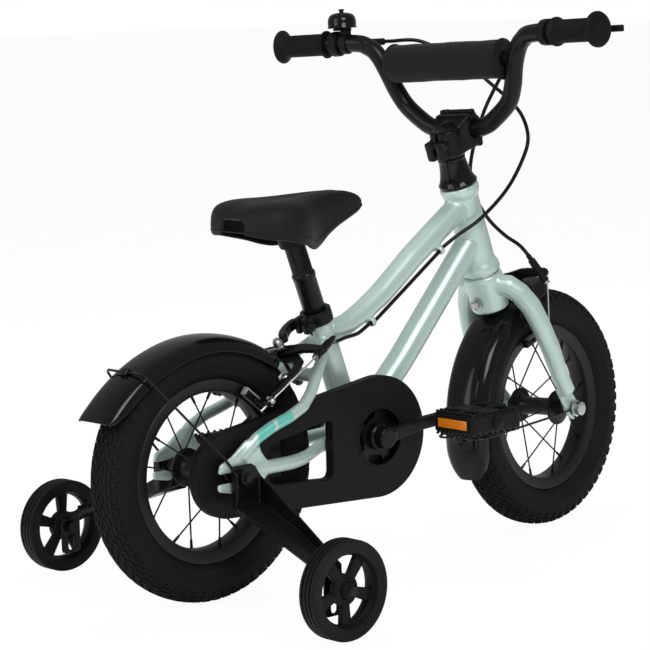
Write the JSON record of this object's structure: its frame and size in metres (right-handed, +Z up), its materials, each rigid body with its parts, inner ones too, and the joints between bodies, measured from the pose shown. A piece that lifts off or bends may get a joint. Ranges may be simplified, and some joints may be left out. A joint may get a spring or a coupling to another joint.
{
  "type": "child's bicycle",
  "caption": "Child's bicycle with a cased chain drive, mudguards, hand brakes, a padded high-rise handlebar and stabiliser wheels.",
  "frame": {"origin": "the middle of the rear tyre's flat patch on the ground, under the rear axle", "axes": "+X forwards, +Y to the rider's left, +Z up"},
  "size_m": [0.8816, 0.5386, 0.671],
  "materials": {
    "mint_paint": "satin metallic paint in pale mint",
    "black_paint": "satin black paint",
    "tyre": "matte black rubber",
    "grip_rubber": "matte black rubber",
    "gloss_black": "glossy black",
    "black_plastic": "matte black moulding",
    "black_vinyl": "grained black vinyl",
    "steel": "plated steel",
    "cable_cover": "black plastic sleeve"
  },
  "bodies": {
    "root": {"frame": "mint_paint", "head_bearing_upper": "steel", "head_bearing_lower": "steel", "bottom_bracket": "black_plastic", "seat_clamp": "black_paint", "chain_case_outer": "black_plastic", "chain_case_inner": "black_plastic", "chain": "steel", "rear_mudguard": "gloss_black", "rear_mudguard_stay": "steel", "rear_axle": "steel", "stabiliser_bracket_right": "black_paint", "stabiliser_bracket_left": "black_paint", "stabiliser_axle_right": "steel", "stabiliser_axle_left": "steel", "rear_brake_bolt": "steel", "rear_brake_cable": "cable_cover"},
    "seat_clamp_lever": {"seat_clamp_lever": "black_paint"},
    "seat": {"seat_post": "black_paint", "saddle_cover": "black_vinyl", "saddle_base": "black_plastic"},
    "steering": {"fork": "mint_paint", "headset_cone": "gloss_black", "stem": "black_paint", "stem_faceplate": "black_paint", "handlebar": "black_paint", "crossbar_pad": "black_vinyl", "grip_right": "grip_rubber", "grip_left": "grip_rubber", "lever_perch_right": "black_plastic", "lever_perch_left": "black_plastic", "bell_base": "black_plastic", "bell_dome": "gloss_black", "front_mudguard": "gloss_black", "front_mudguard_stay": "steel", "front_axle": "steel", "front_brake_bolt": "steel", "front_brake_cable": "cable_cover"},
    "bell_hammer": {"bell_hammer": "black_plastic"},
    "brake_lever_right": {"brake_lever_right": "black_paint"},
    "brake_lever_left": {"brake_lever_left": "black_paint"},
    "front_brake_arm_a": {"front_brake_arm_a": "black_paint"},
    "front_brake_arm_b": {"front_brake_arm_b": "black_paint"},
    "rear_brake_arm_a": {"rear_brake_arm_a": "black_paint"},
    "rear_brake_arm_b": {"rear_brake_arm_b": "black_paint"},
    "front_wheel": {"front_tyre": "tyre", "front_rim": "black_paint", "front_hub": "black_paint"},
    "rear_wheel": {"rear_tyre": "tyre", "rear_rim": "black_paint", "rear_hub": "black_paint"},
    "rear_sprocket": {"rear_sprocket": "black_paint"},
    "crankset": {"chainring": "black_paint", "crank_right": "black_paint", "crank_left": "black_paint", "crank_spindle": "steel"},
    "pedal_right": {"pedal_right": "black_plastic"},
    "pedal_left": {"pedal_left": "black_plastic"},
    "stabiliser_wheel_right": {"stabiliser_wheel_right": "black_plastic"},
    "stabiliser_wheel_left": {"stabiliser_wheel_left": "black_plastic"}
  },
  "joints": [
    {"name": "steering_turn", "type": "hinge", "parent": "root", "child": "steering", "pos_m": [0.4445, 0, 0.395], "axis": [-0.3256, 0, 0.9455], "range_deg": [-67, 53], "deforming": ["rear_brake_cable"]},
    {"name": "seat_height", "type": "slide", "parent": "root", "child": "seat", "axis": [-0.3469, 0, 0.9379], "range_m": [-0.045, 0.045]},
    {"name": "seat_clamp_open", "type": "hinge", "parent": "root", "child": "seat_clamp_lever", "pos_m": [0.15966, 0.018, 0.30313], "axis": [0.3469, 0, -0.9379], "range_deg": [0, 120]},
    {"name": "rear_wheel_spin", "type": "hinge", "parent": "root", "child": "rear_wheel", "pos_m": [0, 0, 0.1525], "axis": [0, 1, 0], "continuous": true},
    {"name": "front_wheel_spin", "type": "hinge", "parent": "steering", "child": "front_wheel", "pos_m": [0.57071, 0.00495, 0.1524], "axis": [-0.1152, 0.9925, -0.0397], "continuous": true},
    {"name": "crank_spin", "type": "hinge", "parent": "root", "child": "crankset", "pos_m": [0.236, 0, 0.1645], "axis": [0, 1, 0], "continuous": true},
    {"name": "sprocket_spin", "type": "hinge", "parent": "root", "child": "rear_sprocket", "pos_m": [0, -0.041, 0.1525], "axis": [0, 1, 0], "continuous": true},
    {"name": "pedal_right_spin", "type": "hinge", "parent": "crankset", "child": "pedal_right", "pos_m": [0.32324, -0.1255, 0.18209], "axis": [0, 1, 0], "continuous": true},
    {"name": "pedal_left_spin", "type": "hinge", "parent": "crankset", "child": "pedal_left", "pos_m": [0.14876, 0.1255, 0.14691], "axis": [0, 1, 0], "continuous": true},
    {"name": "stabiliser_right_spin", "type": "hinge", "parent": "root", "child": "stabiliser_wheel_right", "pos_m": [-0.0176, -0.2528, 0.0558], "axis": [0, 1, 0], "continuous": true},
    {"name": "stabiliser_left_spin", "type": "hinge", "parent": "root", "child": "stabiliser_wheel_left", "pos_m": [-0.0176, 0.2528, 0.0558], "axis": [0, 1, 0], "continuous": true},
    {"name": "brake_lever_right_pull", "type": "hinge", "parent": "steering", "child": "brake_lever_right", "pos_m": [0.44259, -0.16212, 0.63958], "axis": [0.0023, -0.0397, -0.9992], "range_deg": [0, 12], "stiffness_Nm_per_rad": 0.3},
    {"name": "brake_lever_left_pull", "type": "hinge", "parent": "steering", "child": "brake_lever_left", "pos_m": [0.40332, 0.17613, 0.62606], "axis": [-0.0023, 0.0397, 0.9992], "range_deg": [0, 12], "stiffness_Nm_per_rad": 0.3},
    {"name": "front_brake_arm_a_close", "type": "hinge", "parent": "steering", "child": "front_brake_arm_a", "pos_m": [0.47478, 0, 0.30707], "axis": [0.9385, 0.1219, 0.3231], "range_deg": [0, 1], "deforming": ["front_brake_cable"]},
    {"name": "front_brake_arm_b_close", "type": "hinge", "parent": "steering", "child": "front_brake_arm_b", "pos_m": [0.47478, 0, 0.30707], "axis": [-0.9385, -0.1219, -0.3231], "range_deg": [0, 1], "deforming": ["front_brake_cable"]},
    {"name": "rear_brake_arm_a_close", "type": "hinge", "parent": "root", "child": "rear_brake_arm_a", "pos_m": [0.144, 0, 0.248], "axis": [0.5447, 0, -0.8386], "range_deg": [0, 1], "deforming": ["rear_brake_cable"]},
    {"name": "rear_brake_arm_b_close", "type": "hinge", "parent": "root", "child": "rear_brake_arm_b", "pos_m": [0.144, 0, 0.248], "axis": [-0.5447, 0, 0.8386], "range_deg": [0, 1], "deforming": ["rear_brake_cable"]},
    {"name": "bell_hammer_flick", "type": "hinge", "parent": "steering", "child": "bell_hammer", "pos_m": [0.37377, 0.1578, 0.64323], "axis": [-0.0023, 0.0397, 0.9992], "range_deg": [0, 25], "stiffness_Nm_per_rad": 0.01}
  ],
  "couplings": [
    {"joint": "sprocket_spin", "follows": "crank_spin", "ratio": 2},
    {"joint": "front_brake_arm_a_close", "follows": "brake_lever_right_pull", "ratio": 0.08333},
    {"joint": "front_brake_arm_b_close", "follows": "brake_lever_right_pull", "ratio": 0.08333},
    {"joint": "rear_brake_arm_a_close", "follows": "brake_lever_left_pull", "ratio": 0.08333},
    {"joint": "rear_brake_arm_b_close", "follows": "brake_lever_left_pull", "ratio": 0.08333}
  ]
}
